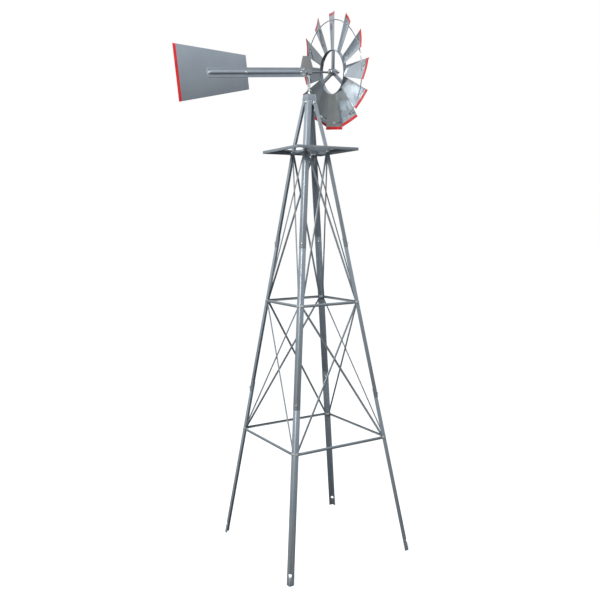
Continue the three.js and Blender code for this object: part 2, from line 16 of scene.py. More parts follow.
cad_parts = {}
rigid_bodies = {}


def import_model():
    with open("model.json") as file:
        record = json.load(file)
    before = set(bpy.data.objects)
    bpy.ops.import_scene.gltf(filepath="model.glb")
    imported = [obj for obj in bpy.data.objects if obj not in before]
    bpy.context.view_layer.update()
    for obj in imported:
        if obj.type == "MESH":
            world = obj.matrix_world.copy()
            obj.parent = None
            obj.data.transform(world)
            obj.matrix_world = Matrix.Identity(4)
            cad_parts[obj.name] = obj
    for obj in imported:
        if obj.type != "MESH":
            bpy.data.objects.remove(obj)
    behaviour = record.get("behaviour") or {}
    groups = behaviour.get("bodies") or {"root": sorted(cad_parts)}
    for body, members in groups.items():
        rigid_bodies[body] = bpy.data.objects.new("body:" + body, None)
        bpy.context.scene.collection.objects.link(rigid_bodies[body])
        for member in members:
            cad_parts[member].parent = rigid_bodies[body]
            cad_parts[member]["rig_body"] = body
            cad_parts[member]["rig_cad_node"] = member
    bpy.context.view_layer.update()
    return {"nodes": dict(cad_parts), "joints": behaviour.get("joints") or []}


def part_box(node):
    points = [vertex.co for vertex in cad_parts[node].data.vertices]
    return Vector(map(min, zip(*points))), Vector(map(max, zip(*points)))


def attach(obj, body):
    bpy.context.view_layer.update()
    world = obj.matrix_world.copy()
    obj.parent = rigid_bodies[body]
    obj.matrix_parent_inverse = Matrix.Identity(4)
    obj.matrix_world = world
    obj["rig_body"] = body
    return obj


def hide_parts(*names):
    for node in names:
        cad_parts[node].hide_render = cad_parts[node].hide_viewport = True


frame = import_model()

MM = 0.001

# %% [markdown]
# ## Measures read from the frame
# The tower axis is the middle of the cap. The legs' corner lines come from the boxes of the leg
# sections, because the highest X of a section is its corner at the foot, and the lowest X is the
# edge of its flange at the head. The wheel's hinge gives the axle line and its tilt.

# %% Tower lines
FLANGE = 22.5 * MM
LEG_SHEET = 1.2 * MM
FOLD_RADIUS = 5 * MM
STRIP_SHEET = 1.0 * MM
GAP = 0.3 * MM
NEST_STEP = 1.5 * MM
BOLT_IN = 13.5 * MM

cap_low, cap_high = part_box("tower_cap")
AXIS_X = (cap_low.x + cap_high.x) / 2
AXIS = Matrix.Translation((AXIS_X, 0, 0))
middle_low, middle_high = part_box("middle_leg_front_left")
upper_low, upper_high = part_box("upper_leg_front_left")
lower_low, lower_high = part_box("lower_leg_front_left")
TAPER = ((middle_high.x - middle_low.x) - FLANGE) / (middle_high.z - middle_low.z)
BATTER = math.atan(TAPER)
BASE_HALF = upper_high.x - AXIS_X + upper_low.z * TAPER
KNEE_Z = 1.833  # where the top lengths bend a second time
TOP_HALF = upper_low.x - AXIS_X + FLANGE
BEND_SLOPE = (BASE_HALF - KNEE_Z * TAPER - TOP_HALF) / (upper_high.z - KNEE_Z)


def leg_half(z):
    """Half the tower's width across the outer faces of the legs at a height."""
    if z <= KNEE_Z:
        return BASE_HALF - z * TAPER
    return BASE_HALF - KNEE_Z * TAPER - (z - KNEE_Z) * BEND_SLOPE


print("tower axis at x", round(AXIS_X, 4), "batter", round(math.degrees(BATTER), 2), "degrees")

# %% Head and wheel lines
spin = next(j for j in frame["joints"] if j["name"] == "wheel_spin")
AXLE_WAY = Vector(spin["axis"]).normalized()
TILT = math.atan2(AXLE_WAY.z, AXLE_WAY.x)
WHEEL_CENTRE = Vector(spin["pos_m"])
WHEEL_X = (WHEEL_CENTRE.x - AXIS_X) / math.cos(TILT)
AXLE_Z = WHEEL_CENTRE.z - WHEEL_X * math.sin(TILT)
HEAD = Matrix.Translation((AXIS_X, 0, AXLE_Z)) @ Matrix.Rotation(-TILT, 4, "Y")
WHEEL = HEAD @ Matrix.Translation((WHEEL_X, 0, 0))
print("axle", round(AXLE_Z, 4), "m up, tilted", round(math.degrees(TILT), 2), "degrees")

# %% [markdown]
# ## Helpers
# An operator acts on whatever is selected, so every piece starts from an empty selection. Parts of
# a mesh are picked by a test of where they are, which is what clicking on them does by hand.

# %% Selecting, placing and finishing
def fresh_start():
    if bpy.context.mode != "OBJECT":
        bpy.ops.object.mode_set(mode="OBJECT")
    bpy.ops.object.select_all(action="DESELECT")


def made(name):
    """The object that an add operator has just made, under its own name."""
    piece = bpy.context.view_layer.objects.active
    piece.name = name
    piece.data.name = name
    return piece


def only(piece):
    fresh_start()
    piece.select_set(True)
    bpy.context.view_layer.objects.active = piece


def pick(piece, kind, test):
    """Edit the piece with just the VERT, EDGE or FACE items selected whose middle passes a test."""
    only(piece)
    bpy.ops.object.mode_set(mode="EDIT")
    bpy.ops.mesh.select_mode(type=kind)
    bpy.ops.mesh.select_all(action="DESELECT")
    net = bmesh.from_edit_mesh(piece.data)
    items = {"VERT": net.verts, "EDGE": net.edges, "FACE": net.faces}[kind]
    for item in items:
        if kind == "VERT":
            middle = item.co
        elif kind == "EDGE":
            middle = (item.verts[0].co + item.verts[1].co) / 2
        else:
            middle = item.calc_center_median()
        item.select_set(bool(test(middle, item)))
    net.select_flush_mode()
    bmesh.update_edit_mesh(piece.data)


def pick_all(piece):
    pick(piece, "VERT", lambda middle, item: True)


def slice_at(piece, point, normal):
    """Cut the whole piece by a plane, which leaves a new line of edges."""
    pick_all(piece)
    bpy.ops.mesh.bisect(plane_co=point, plane_no=normal)
    fresh_start()


def lift(height, falloff, reach):
    """Raise what is picked along Z, and what lies near it by less."""
    bpy.ops.transform.translate(value=(0, 0, height), use_proportional_edit=True,
                                proportional_edit_falloff=falloff, proportional_size=reach)


def draw_out(way):
    bpy.ops.mesh.extrude_region_move(TRANSFORM_OT_translate={"value": way})


def apply_all(piece):
    only(piece)
    for modifier in list(piece.modifiers):
        bpy.ops.object.modifier_apply(modifier=modifier.name)


def thicken(piece, sheet, offset=-1):
    solidify = piece.modifiers.new("sheet", "SOLIDIFY")
    solidify.thickness = sheet
    solidify.offset = offset
    solidify.use_even_offset = True
    apply_all(piece)


def soften(piece, width, segments=2, angle=35):
    bevel = piece.modifiers.new("edges", "BEVEL")
    bevel.width = width
    bevel.segments = segments
    bevel.limit_method = "ANGLE"
    bevel.angle_limit = math.radians(angle)
    apply_all(piece)


def drill(piece, tool):
    """Cut a tool's shape out of a piece and throw the tool away."""
    boolean = piece.modifiers.new("hole", "BOOLEAN")
    boolean.operation = "DIFFERENCE"
    boolean.solver = "EXACT"
    boolean.object = tool
    apply_all(piece)
    bpy.data.objects.remove(tool)


def place(piece, matrix):
    """Move a piece to its place in the frame and put that place into its mesh."""
    only(piece)
    piece.matrix_world = matrix @ piece.matrix_world
    bpy.ops.object.transform_apply(location=True, rotation=True, scale=True)


def stretch(piece, size, middle):
    """Give a unit primitive its size and its middle, and put both into its mesh."""
    piece.scale = size
    piece.location = middle
    bpy.ops.object.transform_apply(location=True, rotation=True, scale=True)


def show(thing):
    bpy.context.scene.collection.objects.link(thing)
    return thing


def copy_of(piece, name):
    twin = piece.copy()
    twin.data = piece.data.copy()
    twin.name = name
    twin.data.name = name
    return show(twin)


def settle(piece, body, slot, material, *nodes, angle=30):
    """Give a finished piece its material and its body, and hide the frame nodes that it stands for.
    """
    only(piece)
    bpy.ops.object.shade_smooth_by_angle(angle=math.radians(angle))
    if not piece.data.materials:
        piece.data.materials.append(material)
    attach(piece, body)
    if nodes:
        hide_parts(*nodes)
    return piece


def discard(*pieces):
    for piece in pieces:
        bpy.data.objects.remove(piece)


def look_along(point, way):
    """A matrix whose +Z lies along a direction, standing at a point."""
    turn = Vector(way).to_track_quat("Z", "Y").to_matrix().to_4x4()
    return Matrix.Translation(point) @ turn


# %% [markdown]
# ## The coatings
# Hot-dip zinc is never one grey. It freezes in crystals, the spangle, and it dulls in cloudy
# patches. Both depend on the place on the metal, so they are one node group that reads Object
# coordinates, and each finish gives it its own two greys, crystal size and shine.

# %% Galvanised coat group
def new_group(name, inputs, outputs):
    group = bpy.data.node_groups.new(name, "ShaderNodeTree")
    for label, kind, value in inputs:
        socket = group.interface.new_socket(name=label, in_out="INPUT", socket_type=kind)
        socket.default_value = value
    for label, kind in outputs:
        group.interface.new_socket(name=label, in_out="OUTPUT", socket_type=kind)
    return group, group.nodes.new("NodeGroupInput"), group.nodes.new("NodeGroupOutput")


COLOR, FLOAT, VECTOR = "NodeSocketColor", "NodeSocketFloat", "NodeSocketVector"


def feed(group, value, socket):
    """Link a socket to another one, or give it a plain value."""
    if isinstance(value, bpy.types.NodeSocket):
        group.links.new(value, socket)
    else:
        socket.default_value = value


def blend_of(group, low, high, factor, blend="MIX"):
    """A colour mix of two colours by a factor socket."""
    mix = group.nodes.new("ShaderNodeMix")
    mix.data_type = "RGBA"
    mix.blend_type = blend
    for label, value in (("Factor", factor), ("A", low), ("B", high)):
        feed(group, value, mix.inputs[label])
    return mix.outputs["Result"]


def spread(group, value, low, high, from_low=0.0, from_high=1.0):
    """Map a value socket from one range to another."""
    ranged = group.nodes.new("ShaderNodeMapRange")
    for label, end in (("Value", value), ("From Min", from_low), ("From Max", from_high),
                       ("To Min", low), ("To Max", high)):
        feed(group, end, ranged.inputs[label])
    return ranged.outputs["Result"]


def maths(group, operation, first, second):
    node = group.nodes.new("ShaderNodeMath")
    node.operation = operation
    feed(group, first, node.inputs[0])
    feed(group, second, node.inputs[1])
    return node.outputs["Value"]


def bump_of(group, height, strength, distance):
    bump = group.nodes.new("ShaderNodeBump")
    bump.inputs["Distance"].default_value = distance
    feed(group, strength, bump.inputs["Strength"])
    group.links.new(height, bump.inputs["Height"])
    return bump.outputs["Normal"]


def object_place(group):
    return group.nodes.new("ShaderNodeTexCoord").outputs["Object"]


def noise(group, vector, scale, detail=3.0, roughness=0.5):
    node = group.nodes.new("ShaderNodeTexNoise")
    node.inputs["Scale"].default_value = scale
    node.inputs["Detail"].default_value = detail
    node.inputs["Roughness"].default_value = roughness
    group.links.new(vector, node.inputs["Vector"])
    return node.outputs["Fac"]


def make_zinc_group():
    group, given, result = new_group("Zinc coat", [
        ("Dark", COLOR, (0.2, 0.25, 0.3, 1)),
        ("Light", COLOR, (0.4, 0.46, 0.52, 1)),
        ("Crystal Scale", FLOAT, 110.0),
        ("Crystal Share", FLOAT, 0.4),
        ("Gloss Roughness", FLOAT, 0.28),
        ("Dull Roughness", FLOAT, 0.5),
    ], [("Color", COLOR), ("Roughness", FLOAT), ("Normal", VECTOR)])
    place_on = object_place(group)
    crystal = group.nodes.new("ShaderNodeTexVoronoi")
    crystal.feature = "F1"
    group.links.new(place_on, crystal.inputs["Vector"])
    group.links.new(given.outputs["Crystal Scale"], crystal.inputs["Scale"])
    tone = group.nodes.new("ShaderNodeSeparateColor")
    group.links.new(crystal.outputs["Color"], tone.inputs["Color"])
    cloud = noise(group, place_on, 9.0, 5.0, 0.6)
    cloud_spread = spread(group, cloud, 0.0, 1.0, 0.3, 0.7)
    share = given.outputs["Crystal Share"]
    crystal_part = maths(group, "MULTIPLY", tone.outputs["Red"], share)
    cloud_part = maths(group, "MULTIPLY", cloud_spread, maths(group, "SUBTRACT", 1.0, share))
    mottle = maths(group, "ADD", crystal_part, cloud_part)
    color = blend_of(group, given.outputs["Dark"], given.outputs["Light"], mottle)
    group.links.new(color, result.inputs["Color"])
    dulled = spread(group, mottle, given.outputs["Dull Roughness"],
                    given.outputs["Gloss Roughness"])
    group.links.new(dulled, result.inputs["Roughness"])
    grain = noise(group, place_on, 260.0, 2.0)
    relief = maths(group, "ADD", grain, maths(group, "MULTIPLY", tone.outputs["Red"], 0.3))
    group.links.new(bump_of(group, relief, 0.3, 0.08 * MM), result.inputs["Normal"])
    return group


ZINC_COAT = make_zinc_group()
print("made group", ZINC_COAT.name)

# %% [markdown]
# The blades and the vane are cold-rolled sheet. It has fine lines along the rolling direction,
# and it is never quite flat, so a reflection wanders over it. A second group holds both: it gives
# a streak mask and the gently wavy normal, and the sheet finishes set how strong they are.

# %% Rolled sheet group
def make_sheet_group():
    group, given, result = new_group("Rolled sheet", [
        ("Dark", COLOR, (0.3, 0.33, 0.36, 1)),
        ("Light", COLOR, (0.5, 0.53, 0.56, 1)),
        ("Roughness Low", FLOAT, 0.2),
        ("Roughness High", FLOAT, 0.34),
        ("Streaks", VECTOR, (20.0, 20.0, 300.0)),
        ("Waviness", FLOAT, 0.5),
    ], [("Color", COLOR), ("Roughness", FLOAT), ("Normal", VECTOR)])
    place_on = object_place(group)
    stretch = group.nodes.new("ShaderNodeVectorMath")
    stretch.operation = "MULTIPLY"
    group.links.new(place_on, stretch.inputs[0])
    group.links.new(given.outputs["Streaks"], stretch.inputs[1])
    lines = noise(group, stretch.outputs["Vector"], 1.0, 4.0, 0.65)
    cloud = noise(group, place_on, 12.0, 3.0)
    mottle = maths(group, "ADD", maths(group, "MULTIPLY", lines, 0.3),
                   maths(group, "MULTIPLY", cloud, 0.7))
    sharp = spread(group, mottle, 0.0, 1.0, 0.32, 0.68)
    color = blend_of(group, given.outputs["Dark"], given.outputs["Light"], sharp)
    group.links.new(color, result.inputs["Color"])
    rough = spread(group, sharp, given.outputs["Roughness High"], given.outputs["Roughness Low"])
    group.links.new(rough, result.inputs["Roughness"])
    wave = noise(group, place_on, 14.0, 1.0)
    height = maths(group, "ADD", wave, maths(group, "MULTIPLY", lines, 0.004))
    wavy = bump_of(group, height, given.outputs["Waviness"], 4 * MM)
    group.links.new(wavy, result.inputs["Normal"])
    return group


ROLLED_SHEET = make_sheet_group()
print("made group", ROLLED_SHEET.name)

# %% [markdown]
# ## The finishes
# Each finish is one material: a group for its surface, and a Principled shader that stays in the
# material itself. Metallic and the paint's clear coat are the same all over, so they are set on the
# shader's own sockets.

# %% Materials
def metal(name, group, metallic, **values):
    material = bpy.data.materials.new(name)
    material.use_nodes = True
    tree = material.node_tree
    shader = tree.nodes["Principled BSDF"]
    shader.inputs["Metallic"].default_value = metallic
    surface = tree.nodes.new("ShaderNodeGroup")
    surface.node_tree = group
    for label, value in values.items():
        surface.inputs[label.replace("_", " ")].default_value = value
    tree.links.new(surface.outputs["Color"], shader.inputs["Base Color"])
    tree.links.new(surface.outputs["Roughness"], shader.inputs["Roughness"])
    tree.links.new(surface.outputs["Normal"], shader.inputs["Normal"])
    return material


def zinc(name, metallic, dark, light, crystals, share, gloss, dull):
    return metal(name, ZINC_COAT, metallic, Dark=(*dark, 1), Light=(*light, 1),
                 Crystal_Scale=crystals, Crystal_Share=share,
                 Gloss_Roughness=gloss, Dull_Roughness=dull)


def sheet(name, metallic, dark, light, low, high, waves):
    return metal(name, ROLLED_SHEET, metallic, Dark=(*dark, 1), Light=(*light, 1),
                 Roughness_Low=low, Roughness_High=high, Waviness=waves)


leg_zinc = zinc("leg_zinc", 0.65, (0.42, 0.48, 0.54), (0.54, 0.61, 0.68), 90, 0.3, 0.4, 0.5)
brace_zinc = zinc("brace_zinc", 0.6, (0.34, 0.39, 0.43), (0.45, 0.50, 0.55), 120, 0.3, 0.36, 0.48)
deck_zinc = zinc("deck_zinc", 0.6, (0.34, 0.39, 0.44), (0.46, 0.52, 0.57), 80, 0.2, 0.32, 0.4)
boom_zinc = zinc("boom_zinc", 0.65, (0.42, 0.48, 0.55), (0.52, 0.59, 0.67), 140, 0.25, 0.38, 0.46)
bar_zinc = zinc("bar_zinc", 0.85, (0.34, 0.37, 0.41), (0.46, 0.50, 0.55), 140, 0.25, 0.2, 0.32)
bolt_zinc = zinc("bolt_zinc", 0.8, (0.70, 0.71, 0.70), (0.88, 0.88, 0.86), 500, 0.3, 0.24, 0.36)
cream_zinc = zinc("cream_zinc", 0.7, (0.74, 0.70, 0.60), (0.90, 0.86, 0.76), 500, 0.3, 0.26, 0.4)
blade_sheet = sheet("blade_sheet", 0.95, (0.47, 0.515, 0.55), (0.57, 0.61, 0.645), 0.14, 0.22, 0.4)
vane_sheet = sheet("vane_sheet", 0.6, (0.42, 0.48, 0.555), (0.48, 0.54, 0.61), 0.34, 0.42, 0.12)
fin_sheet = sheet("fin_sheet", 0.35, (0.33, 0.35, 0.37), (0.40, 0.41, 0.43), 0.5, 0.6, 0.1)


def make_red_paint():
    """Gloss enamel, a little uneven where the brush or the dip ran."""
    material = bpy.data.materials.new("red_paint")
    material.use_nodes = True
    tree = material.node_tree
    shader = tree.nodes["Principled BSDF"]
    shader.inputs["Coat Weight"].default_value = 0.5
    shader.inputs["Coat Roughness"].default_value = 0.12
    place_on = object_place(tree)
    cloud = noise(tree, place_on, 25.0, 4.0)
    factor = spread(tree, cloud, 0.0, 1.0, 0.35, 0.65)
    color = blend_of(tree, (0.68, 0.014, 0.018, 1), (0.95, 0.035, 0.035, 1), factor)
    tree.links.new(color, shader.inputs["Base Color"])
    tree.links.new(spread(tree, cloud, 0.3, 0.45), shader.inputs["Roughness"])
    peel = bump_of(tree, noise(tree, place_on, 380.0, 2.0), 0.08, 0.3 * MM)
    tree.links.new(peel, shader.inputs["Normal"])
    return material


red_paint = make_red_paint()
print("finishes:", len(bpy.data.materials), "materials")

# %% [markdown]
# ## The legs
# Each leg is three lengths of bent angle, and each length nests inside the one above. A bent angle
# is a flat strip folded once. The quick way to that shape is a box with only two of its sides kept:
# the fold between them is then rounded by a bevel, and the sheet gets its thickness last, so both
# skins follow the fold.

# %% One bent angle
def bent_angle(name, foot_z, head_z, inset):
    """An open angle at the front left corner, in the tower's frame."""
    fresh_start()
    foot = leg_half(foot_z) - inset
    head = leg_half(head_z) - inset
    bpy.ops.mesh.primitive_cube_add(size=1)
    angle = made(name)
    stretch(angle, (FLANGE, FLANGE, head_z - foot_z),
            (foot - FLANGE / 2, foot - FLANGE / 2, (foot_z + head_z) / 2))
    pick(angle, "FACE", lambda middle, face: face.normal.x + face.normal.y < 0.5)
    bpy.ops.mesh.delete(type="FACE")
    pick(angle, "VERT", lambda middle, vert: middle.z > (foot_z + head_z) / 2)
    bpy.ops.transform.translate(value=(head - foot, head - foot, 0))
    fresh_start()
    return angle


def lean_in_above_deck(angle):
    """The top length has a second, slight bend at the platform."""
    slice_at(angle, (0, 0, KNEE_Z), (0, 0, 1))
    pick(angle, "VERT", lambda middle, vert: abs(middle.z - KNEE_Z) < MM)
    foot, head = leg_half(upper_low.z), leg_half(upper_high.z)
    share = (KNEE_Z - upper_low.z) / (upper_high.z - upper_low.z)
    shift = leg_half(KNEE_Z) - (foot + (head - foot) * share)
    bpy.ops.transform.translate(value=(shift, shift, 0))
    fresh_start()


def fold_and_thicken(angle):
    def on_fold(middle, edge):
        first, second = edge.verts
        return abs(middle.x - middle.y) < 0.1 * MM and abs(first.co.z - second.co.z) > MM

    pick(angle, "EDGE", on_fold)
    bpy.ops.mesh.bevel(offset=FOLD_RADIUS, segments=8, affect="EDGES", profile=0.5)
    thicken(angle, LEG_SHEET)


ANCHOR_Z = 43 * MM
ANCHOR_RADIUS = 7 * MM


def anchor_tool(z, inset):
    """A round punch through the fold of the leg."""
    fresh_start()
    corner = leg_half(z) - inset
    bpy.ops.mesh.primitive_cylinder_add(vertices=40, radius=ANCHOR_RADIUS, depth=20 * MM)
    tool = made("punch")
    place(tool, look_along((corner - 2 * MM, corner - 2 * MM, z), (1, 1, 0)))
    return tool


SECTIONS = [("lower", lower_low.z, lower_high.z, 2 * NEST_STEP),
            ("middle", middle_low.z, middle_high.z, NEST_STEP),
            ("upper", upper_low.z, upper_high.z, 0.0)]
CORNERS = ["front_left", "rear_left", "rear_right", "front_right"]


def quarter(turn):
    """A turn about the tower axis, which takes a front left piece to another corner."""
    return AXIS @ Matrix.Rotation(turn * math.pi / 2, 4, "Z")


for part, foot_z, head_z, inset in SECTIONS:
    pattern = bent_angle(f"{part}_angle", foot_z, head_z, inset)
    if part == "upper":
        lean_in_above_deck(pattern)
    fold_and_thicken(pattern)
    if part == "lower":
        drill(pattern, anchor_tool(ANCHOR_Z, inset))
    soften(pattern, 0.25 * MM)
    for turn, corner in enumerate(CORNERS):
        leg = copy_of(pattern, f"leg_{part}_{corner}")
        place(leg, quarter(turn))
        settle(leg, "tower", "frame_zinc", leg_zinc, f"{part}_leg_{corner}", angle=40)
    discard(pattern)
print("legs: 12 lengths, flange", round(FLANGE * 1000, 1), "mm")

# %% [markdown]
# ## Rings and braces
# The ring bars and the crossed braces are narrow strips. A press squeezes a rib along the middle,
# which makes them stiff, and leaves the ends flat for the bolts. Here the strip is a grid, the rib
# is its middle line lifted with a round falloff, and the ends are drawn in to a blunt point.

# %% A pressed strip
def pressed_strip(name, length, width, foot_tab, head_tab, crown):
    """Lies along +X from 0 to length, rib up along Z or down when crown is negative."""
    fresh_start()
    bpy.ops.mesh.primitive_grid_add(x_subdivisions=1, y_subdivisions=10, size=1)
    strip = made(name)
    stretch(strip, (length, width, 1), (length / 2, 0, 0))
    end, run = 3 * MM, 8 * MM
    rib_foot, rib_head = foot_tab + run, length - head_tab - run
    for x in (end, foot_tab, foot_tab + run / 2, rib_foot, length / 2,
              rib_head, rib_head + run / 2, rib_head + run, length - end):
        slice_at(strip, (x, 0, 0), (1, 0, 0))
    pick(strip, "VERT", lambda middle, vert: abs(middle.y) < 0.01 * MM
         and rib_foot - 0.1 * MM < middle.x < rib_head + 0.1 * MM)
    lift(crown, "SPHERE", width * 0.42)
    for tip in (0, length):
        pick(strip, "VERT", lambda middle, vert: abs(middle.x - tip) < 0.01 * MM)
        bpy.ops.transform.resize(value=(1, 0.5, 1), center_override=(tip, 0, 0))
    thicken(strip, STRIP_SHEET)
    soften(strip, 0.2 * MM, 1, 50)
    return strip


# %% Where the strips go
# In a face's frame X points out of the face, Y along it and Z up its slope.
BRACE_END = 6 * MM
# Each row of bolts: its height, and how far the leg section there is nested in.
ROWS = {"lower": (0.530, 2 * NEST_STEP), "middle": (1.149, NEST_STEP), "top": (1.819, 0.0)}
FACES = ["front", "left", "rear", "right"]
FACE = Matrix.Translation((BASE_HALF, 0, 0)) @ Matrix.Rotation(-BATTER, 4, "Y")


def bolt_side(row):
    z, inset = ROWS[row]
    return leg_half(z) - inset - BOLT_IN


def bolt_point(row, side, layer):
    """A bolt's place in a face's frame, on the outer skin of the ring bar or of a brace layer."""
    z, inset = ROWS[row]
    depth = (inset + LEG_SHEET) * math.cos(BATTER) + GAP + layer * (STRIP_SHEET + GAP)
    return Vector((-depth, side * bolt_side(row), z / math.cos(BATTER)))


def strip_between(name, start, finish, *form):
    along = (finish - start).normalized()
    length = (finish - start).length + 2 * BRACE_END
    strip = pressed_strip(name, length, *form)
    out = (Vector((1, 0, 0)) - along * along.x).normalized()
    across = out.cross(along)
    turn = Matrix((along, across, out)).transposed().to_4x4()
    place(strip, FACE @ Matrix.Translation(start - along * BRACE_END) @ turn)
    return strip


RING_WIDTH, RING_CROWN, RING_TAB = 13 * MM, 2.6 * MM, 24 * MM
BRACE_WIDTH, BRACE_CROWN = 10 * MM, 2.0 * MM
BRACE_TAB, STEEP_TAB = 38 * MM, 110 * MM

patterns = []
for row in ("lower", "middle"):
    bar = strip_between(f"{row}_bar", bolt_point(row, -1, 0), bolt_point(row, 1, 0),
                        RING_WIDTH, RING_TAB, RING_TAB, RING_CROWN)
    patterns.append((bar, f"ring_bar_{row}", f"{row}_ring"))
for bay, low, high, tab in (("lower", "lower", "middle", BRACE_TAB),
                            ("upper", "middle", "top", STEEP_TAB)):
    for layer, side, depth in ((1, 1, "outer"), (2, -1, "inner")):
        ends = bolt_point(low, -side, layer), bolt_point(high, side, layer)
        brace = strip_between(f"{bay}_{depth}", *ends, BRACE_WIDTH, tab, BRACE_TAB,
                              side * BRACE_CROWN)
        patterns.append((brace, f"brace_{bay}_{depth}", f"{bay}_brace_{depth}"))

for pattern, label, node in patterns:
    for turn, face in enumerate(FACES):
        strip = copy_of(pattern, f"{label}_{face}")
        place(strip, quarter(turn))
        settle(strip, "tower", "brace_zinc", brace_zinc, f"{node}_{face}", angle=40)
    discard(pattern)
print("strips: 8 ring bars and 16 braces")

# %% [markdown]
# ## Platform and cap
# Both are folded from one blank, and the frame's shape is already right. What the frame's loose
# triangles lack is a soft fold. So each is a copy of its node with the triangles merged, the flat
# faces joined up again, and every fold rounded.

# %% Folded copies of frame nodes
def folded_copy(name, node, width, segments):
    twin = copy_of(frame["nodes"][node], name)
    twin.parent = None
    twin.hide_render = False
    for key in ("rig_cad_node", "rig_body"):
        if key in twin:
            del twin[key]
    twin.data.materials.clear()
    pick_all(twin)
    bpy.ops.mesh.remove_doubles(threshold=0.02 * MM)
    bpy.ops.mesh.dissolve_limited(angle_limit=math.radians(1))
    soften(twin, width, segments, 30)
    return twin


deck = folded_copy("platform_frame", "platform", 0.35 * MM, 2)
settle(deck, "tower", "deck_zinc", deck_zinc, "platform", angle=40)
cap = folded_copy("folded_cap", "tower_cap", 0.5 * MM, 3)
settle(cap, "tower", "frame_zinc", leg_zinc, "tower_cap", angle=40)
deck_low, deck_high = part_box("platform")
print("platform", [round(v, 3) for v in deck_high - deck_low], "m")

# %% [markdown]
# ## Nuts, bolts and turned parts
# A hexagon nut is a six-sided bar cut to length, with its corners turned off on a lathe. A lathe
# part is one outline spun about its axis, which is what the spin operator does. Both are modelled
# once, along +Z, and copied to every place.

# %% Hexagons and lathe work
def hexagon(name, across_flats, height, base):
    fresh_start()
    corner = across_flats / math.sqrt(3)
    bpy.ops.mesh.primitive_cylinder_add(vertices=6, radius=corner, depth=height)
    nut = made(name)
    stretch(nut, (1, 1, 1), (0, 0, base + height / 2))
    soften(nut, across_flats * 0.06, 3, 50)
    return nut


def turned_part(name, outline, steps=48):
    """Spin an outline of (radius, height) points about Z, closed unless it ends on the axis."""
    fresh_start()
    mesh = bpy.data.meshes.new(name)
    last = len(outline) - 1
    links = [(i, i + 1) for i in range(last)]
    if outline[0][0] or outline[last][0]:
        links.append((last, 0))
    mesh.from_pydata([(radius, 0, height) for radius, height in outline], links, [])
    part = show(bpy.data.objects.new(name, mesh))
    pick_all(part)
    bpy.ops.mesh.spin(steps=steps, angle=2 * math.pi, center=(0, 0, 0), axis=(0, 0, 1))
    bpy.ops.mesh.select_all(action="SELECT")
    bpy.ops.mesh.remove_doubles(threshold=0.01 * MM)
    bpy.ops.mesh.normals_make_consistent(inside=False)
    fresh_start()
    return part


def joined_piece(name, *pieces):
    fresh_start()
    for piece in pieces:
        piece.select_set(True)
    bpy.context.view_layer.objects.active = pieces[0]
    bpy.ops.object.join()
    return made(name)


def bolt_set(name, grip, shank=6 * MM, flats=10 * MM):
    """Hex bolt, washers and nut. The clamped sheets lie from 0 down to -grip."""
    washer, nut_high = 0.12 * flats, 4.6 * MM
    under = -grip - washer
    head = hexagon("head", flats, 0.38 * flats, washer)
    nut = hexagon("nut", flats, nut_high, under - nut_high)
    hole, rim = shank / 2 + 0.2 * MM, flats * 0.66
    ring = [(hole, 0), (rim, 0), (rim, washer), (hole, washer)]
    outer_washer = turned_part("outer_washer", ring, 24)
    inner_washer = turned_part("inner_washer", [(r, z + under) for r, z in ring], 24)
    tip, point = under - 6.6 * MM, under - 7.2 * MM
    stem = turned_part("stem", [(0, washer), (shank / 2, washer), (shank / 2, tip),
                                (shank * 0.38, point), (0, point)], 16)
    return joined_piece(name, head, nut, outer_washer, inner_washer, stem)


brace_bolt = bolt_set("brace_bolt", 5.4 * MM)
crease_bolt = bolt_set("crease_bolt", 3.4 * MM, 5 * MM, 7.5 * MM)
print("bolt set:", len(brace_bolt.data.polygons), "faces")

# %% [markdown]
# Every ring and brace end is held by one bolt through the leg's flange. The collar under the
# platform uses the same bolts one sheet further out. The splices are bolted through the fold.

# %% Bolts in the tower
def set_bolt(pattern, name, matrix, body="tower"):
    bolt = copy_of(pattern, name)
    place(bolt, matrix)
    settle(bolt, body, "bright_zinc", bolt_zinc)


def face_bolt(row, side, outset):
    z, inset = ROWS[row]
    out = outset - inset * math.cos(BATTER)
    return FACE @ look_along((out, side * bolt_side(row), z / math.cos(BATTER)), (1, 0, 0))


COLLAR_OUT = LEG_SHEET + 2 * GAP
for turn, face in enumerate(FACES):
    for row in ROWS:
        for side, hand in ((1, "left"), (-1, "right")):
            outset = COLLAR_OUT if row == "top" else 0.0
            seat = quarter(turn) @ face_bolt(row, side, outset)
            set_bolt(brace_bolt, f"bolt_{row}_{face}_{hand}", seat)

CAP_BOLT_Z = 2.0395
cap_lean = math.atan(BEND_SLOPE)
reach = leg_half(CAP_BOLT_Z)
cap_bolt_at = look_along((reach, reach - BOLT_IN, CAP_BOLT_Z),
                         (math.cos(cap_lean), 0, math.sin(cap_lean)))
for turn, face in enumerate(FACES):
    set_bolt(brace_bolt, f"bolt_cap_{face}", quarter(turn) @ cap_bolt_at)

FOLD_DEPTH = FOLD_RADIUS * (math.sqrt(2) - 1)
SPLICE_UP = 18 * MM
for turn, corner in enumerate(CORNERS):
    for part, start, inset in (("lower", middle_low.z, NEST_STEP), ("upper", upper_low.z, 0.0)):
        z = start + SPLICE_UP
        corner_at = leg_half(z) - inset - FOLD_DEPTH / math.sqrt(2)
        set_bolt(crease_bolt, f"bolt_splice_{part}_{corner}",
                 quarter(turn) @ look_along((corner_at, corner_at, z), (1, 1, 0)))
print("tower bolts: 24 brace, 4 cap, 8 splice")

# %% [markdown]
# ## The swivel
# The head stands on a round post in a bush on top of the cap, with one loose washer between.
# These are all lathe and hexagon shapes.

